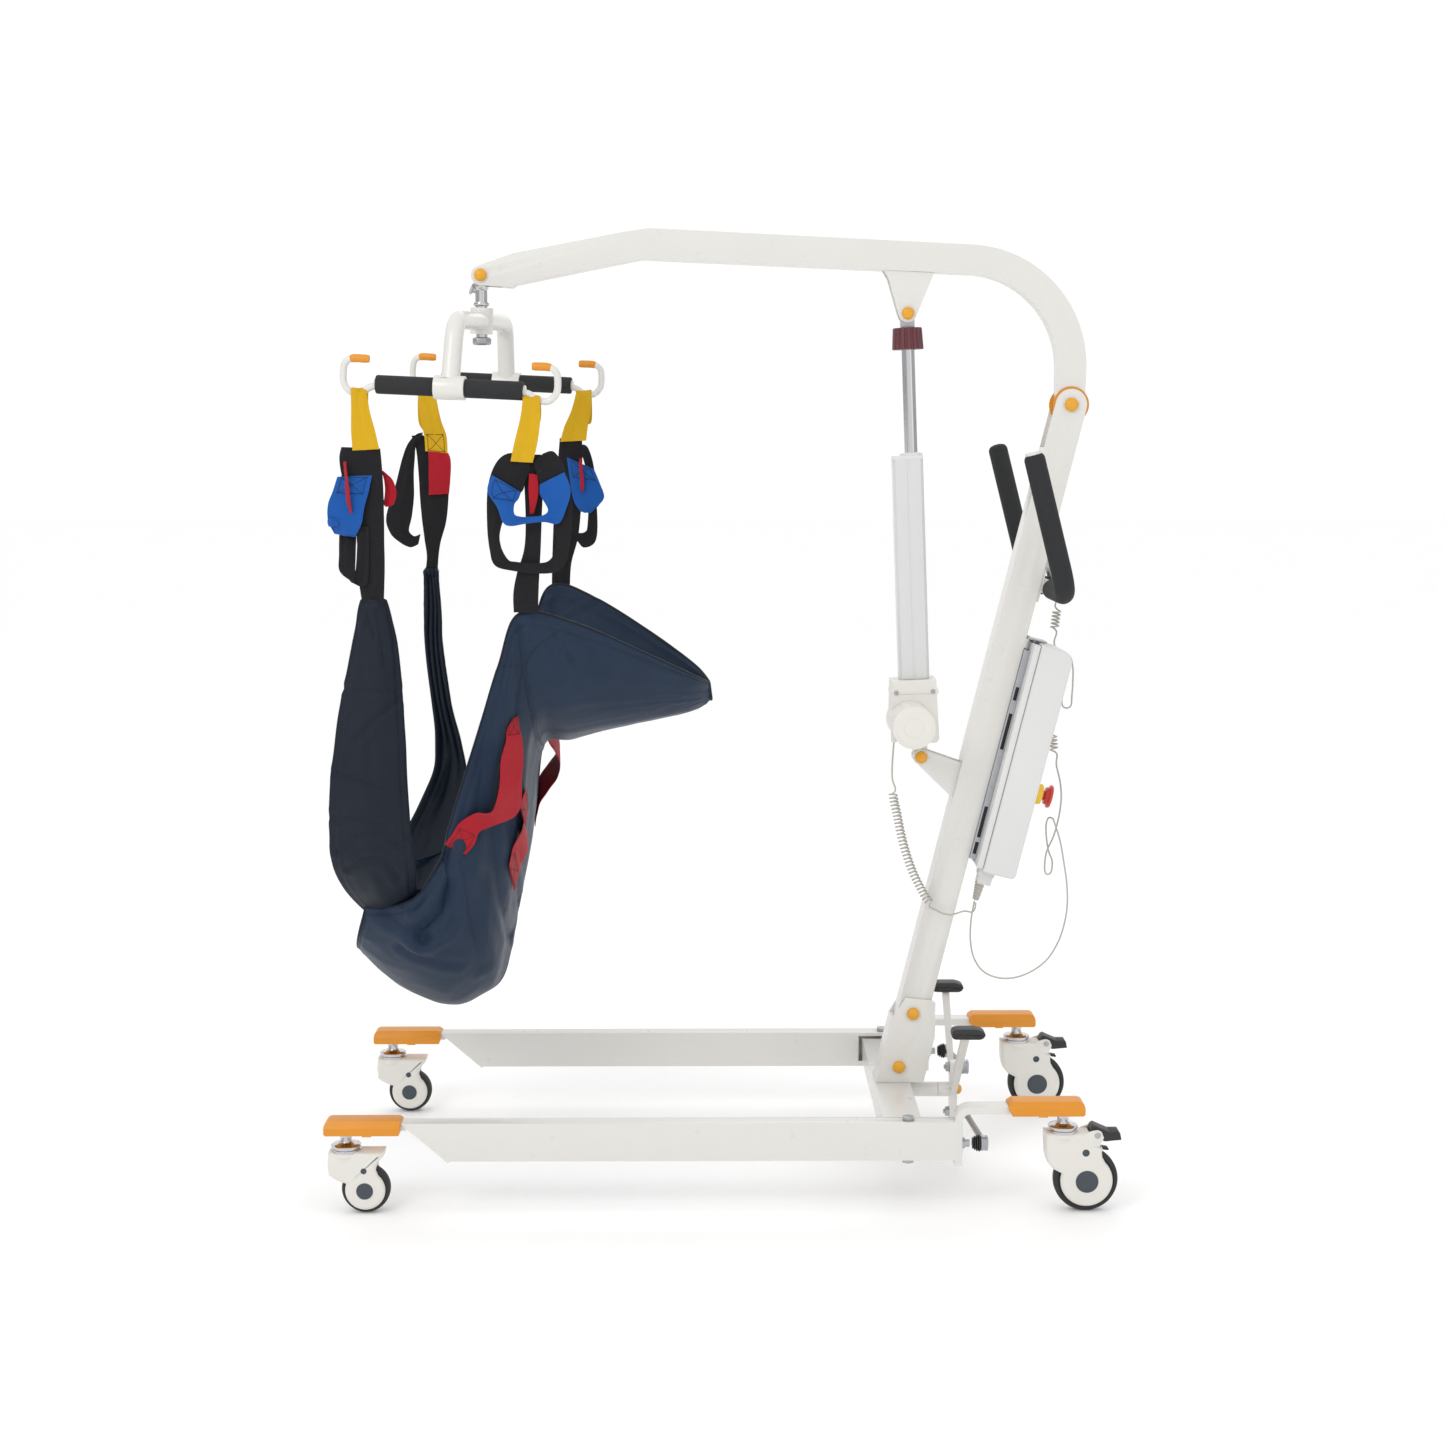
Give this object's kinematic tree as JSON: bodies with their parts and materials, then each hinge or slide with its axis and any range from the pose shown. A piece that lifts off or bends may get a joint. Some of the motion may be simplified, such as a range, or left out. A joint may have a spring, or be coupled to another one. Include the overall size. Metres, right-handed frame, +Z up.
{
  "type": "patient lift hoist",
  "caption": "Mobile patient hoist: spreading wheeled base, leaning mast, powered lifting boom, swivelling hook cradle and a fabric sling.",
  "frame": {"origin": "centre of the bounding box of everything but the cords, on the floor under the wheels", "axes": "+Z up; +X towards the carer's end with the push handle; -X towards the boom tip; +Y to the far leg, away from the motor"},
  "size_m": [1.226, 0.563, 1.5133],
  "materials": {
    "cream_paint": "cream gloss powder coat",
    "orange_plastic": "moulded orange, satin",
    "cream_plastic": "moulded, satin",
    "white_plastic": "moulded off-white, fine texture",
    "maroon_plastic": "moulded dark red, ribbed",
    "red_plastic": "moulded signal red",
    "black_foam": "closed-cell foam sleeve",
    "black_rubber": "moulded, matt",
    "tyre": "solid tread, matt",
    "zinc": "zinc plated",
    "chrome": "polished plate",
    "sling_fabric": "quilted navy nylon, satin",
    "webbing": "woven webbing",
    "grey_cord": "light grey jacket, satin"
  },
  "bodies": {
    "chassis": {"crossbeam": "cream_paint", "mast_foot_bracket": "cream_paint", "mast_foot_bolt_lower": "orange_plastic", "mast_foot_bolt_upper": "orange_plastic", "mast_tube": "cream_paint", "mast_pivot_bolt": "orange_plastic", "actuator_base_pin": "orange_plastic", "push_handle": "cream_paint", "near_grip": "black_foam", "far_grip": "black_foam", "control_box_rail": "zinc", "control_box": "white_plastic", "handset": "white_plastic", "actuator_cord_curl": "grey_cord", "actuator_cord_lower": "grey_cord", "handset_cord_lower": "grey_cord", "handset_cord_lower_curl": "grey_cord", "handset_cord_middle": "grey_cord", "handset_cord_upper_curl": "grey_cord"},
    "boom": {"boom": "cream_paint", "boom_tip_bolt": "orange_plastic", "actuator_top_pin": "orange_plastic"},
    "actuator": {"actuator_gearbox": "cream_plastic", "actuator_tube": "white_plastic", "actuator_cord_upper": "grey_cord"},
    "actuator_rod": {"actuator_rod": "chrome", "release_collar": "maroon_plastic"},
    "hanger": {"hanger_pin": "chrome"},
    "cradle": {"cradle_yoke": "cream_paint", "cradle_bar_near": "black_foam", "cradle_bar_far": "black_foam", "sling_body": "sling_fabric", "sling_leg_flap_near": "sling_fabric", "sling_leg_flap_far": "sling_fabric", "sling_strap_leg_near": "webbing", "sling_strap_leg_far": "webbing", "sling_strap_shoulder_near": "webbing", "sling_strap_shoulder_far": "webbing"},
    "emergency_stop": {"emergency_stop_button": "red_plastic"},
    "pedal": {"leg_spreader_pedal": "cream_paint"},
    "near_leg": {"near_leg": "cream_paint", "near_leg_pivot_bolt": "zinc", "near_front_cap": "orange_plastic", "near_rear_cap": "orange_plastic"},
    "near_tie_rod": {"near_tie_rod": "zinc"},
    "near_front_caster": {"near_front_caster_fork": "cream_plastic"},
    "near_front_wheel": {"near_front_wheel": "tyre"},
    "near_rear_caster": {"near_rear_caster_fork": "cream_plastic"},
    "near_rear_wheel": {"near_rear_wheel": "tyre"},
    "near_brake_pedal": {"near_brake_pedal": "black_rubber"},
    "far_leg": {"far_leg": "cream_paint", "far_leg_pivot_bolt": "zinc", "far_front_cap": "orange_plastic", "far_rear_cap": "orange_plastic"},
    "far_tie_rod": {"far_tie_rod": "zinc"},
    "far_front_caster": {"far_front_caster_fork": "cream_plastic"},
    "far_front_wheel": {"far_front_wheel": "tyre"},
    "far_rear_caster": {"far_rear_caster_fork": "cream_plastic"},
    "far_rear_wheel": {"far_rear_wheel": "tyre"},
    "far_brake_pedal": {"far_brake_pedal": "black_rubber"}
  },
  "joints": [
    {"name": "boom_lift", "type": "hinge", "parent": "chassis", "child": "boom", "pos_m": [0.5534, 0, 1.2389], "axis": [0, 1, 0], "range_deg": [-12, 17]},
    {"name": "actuator_tilt", "type": "hinge", "parent": "chassis", "child": "actuator", "pos_m": [0.3222, 0, 0.6736], "axis": [0, 1, 0], "range_deg": [-3, 4]},
    {"name": "rod_tilt", "type": "hinge", "parent": "boom", "child": "actuator_rod", "pos_m": [0.293, 0, 1.3818], "axis": [0, 1, 0], "range_deg": [-14, 10]},
    {"name": "hanger_level", "type": "hinge", "parent": "boom", "child": "hanger", "pos_m": [-0.3804, 0, 1.4407], "axis": [0, 1, 0], "range_deg": [-18, 13]},
    {"name": "cradle_swivel", "type": "hinge", "parent": "hanger", "child": "cradle", "pos_m": [-0.3815, 0, 1.37], "axis": [0, 0, 1], "continuous": true},
    {"name": "near_leg_spread", "type": "hinge", "parent": "chassis", "child": "near_leg", "pos_m": [0.285, -0.2585, 0.114], "axis": [0, 0, 1], "range_deg": [0, 10]},
    {"name": "far_leg_spread", "type": "hinge", "parent": "chassis", "child": "far_leg", "pos_m": [0.285, 0.2585, 0.114], "axis": [0, 0, 1], "range_deg": [-10, 0]},
    {"name": "pedal_rock", "type": "hinge", "parent": "chassis", "child": "pedal", "pos_m": [0.367, 0, 0.114], "axis": [1, 0, 0], "range_deg": [0, 30.5]},
    {"name": "emergency_stop_press", "type": "slide", "parent": "chassis", "child": "emergency_stop", "axis": [-0.9715, 0, 0.2368], "range_m": [0, 0.004], "stiffness_N_per_m": 900},
    {"name": "near_tie_rod_swing", "type": "hinge", "parent": "near_leg", "child": "near_tie_rod", "pos_m": [0.401, -0.2585, 0.106], "axis": [0, 0, 1], "range_deg": [-10, 0]},
    {"name": "near_front_caster_swivel", "type": "hinge", "parent": "near_leg", "child": "near_front_caster", "pos_m": [-0.582, -0.2585, 0.115], "axis": [0, 0, 1], "continuous": true},
    {"name": "near_front_wheel_spin", "type": "hinge", "parent": "near_front_caster", "child": "near_front_wheel", "pos_m": [-0.552, -0.2585, 0.0375], "axis": [0, 1, 0], "continuous": true},
    {"name": "near_rear_caster_swivel", "type": "hinge", "parent": "near_leg", "child": "near_rear_caster", "pos_m": [0.524, -0.2585, 0.115], "axis": [0, 0, 1], "continuous": true},
    {"name": "near_rear_wheel_spin", "type": "hinge", "parent": "near_rear_caster", "child": "near_rear_wheel", "pos_m": [0.56, -0.2585, 0.05], "axis": [0, 1, 0], "continuous": true},
    {"name": "near_brake_press", "type": "hinge", "parent": "near_rear_caster", "child": "near_brake_pedal", "pos_m": [0.575, -0.2585, 0.1235], "axis": [0, 1, 0], "range_deg": [0, 15]},
    {"name": "far_tie_rod_swing", "type": "hinge", "parent": "far_leg", "child": "far_tie_rod", "pos_m": [0.401, 0.2585, 0.106], "axis": [0, 0, 1], "range_deg": [0, 10]},
    {"name": "far_front_caster_swivel", "type": "hinge", "parent": "far_leg", "child": "far_front_caster", "pos_m": [-0.582, 0.2585, 0.115], "axis": [0, 0, 1], "continuous": true},
    {"name": "far_front_wheel_spin", "type": "hinge", "parent": "far_front_caster", "child": "far_front_wheel", "pos_m": [-0.552, 0.2585, 0.0375], "axis": [0, 1, 0], "continuous": true},
    {"name": "far_rear_caster_swivel", "type": "hinge", "parent": "far_leg", "child": "far_rear_caster", "pos_m": [0.524, 0.2585, 0.115], "axis": [0, 0, 1], "continuous": true},
    {"name": "far_rear_wheel_spin", "type": "hinge", "parent": "far_rear_caster", "child": "far_rear_wheel", "pos_m": [0.56, 0.2585, 0.05], "axis": [0, 1, 0], "continuous": true},
    {"name": "far_brake_press", "type": "hinge", "parent": "far_rear_caster", "child": "far_brake_pedal", "pos_m": [0.575, 0.2585, 0.1235], "axis": [0, 1, 0], "range_deg": [0, 15]}
  ],
  "couplings": [
    {"joint": "actuator_tilt", "follows": "boom_lift", "ratio": 0.225},
    {"joint": "rod_tilt", "follows": "boom_lift", "ratio": -0.775},
    {"joint": "hanger_level", "follows": "boom_lift", "ratio": -1},
    {"joint": "far_leg_spread", "follows": "near_leg_spread", "ratio": -1},
    {"joint": "pedal_rock", "follows": "near_leg_spread", "ratio": 3.05},
    {"joint": "near_tie_rod_swing", "follows": "near_leg_spread", "ratio": -1},
    {"joint": "far_tie_rod_swing", "follows": "near_leg_spread", "ratio": 1}
  ]
}
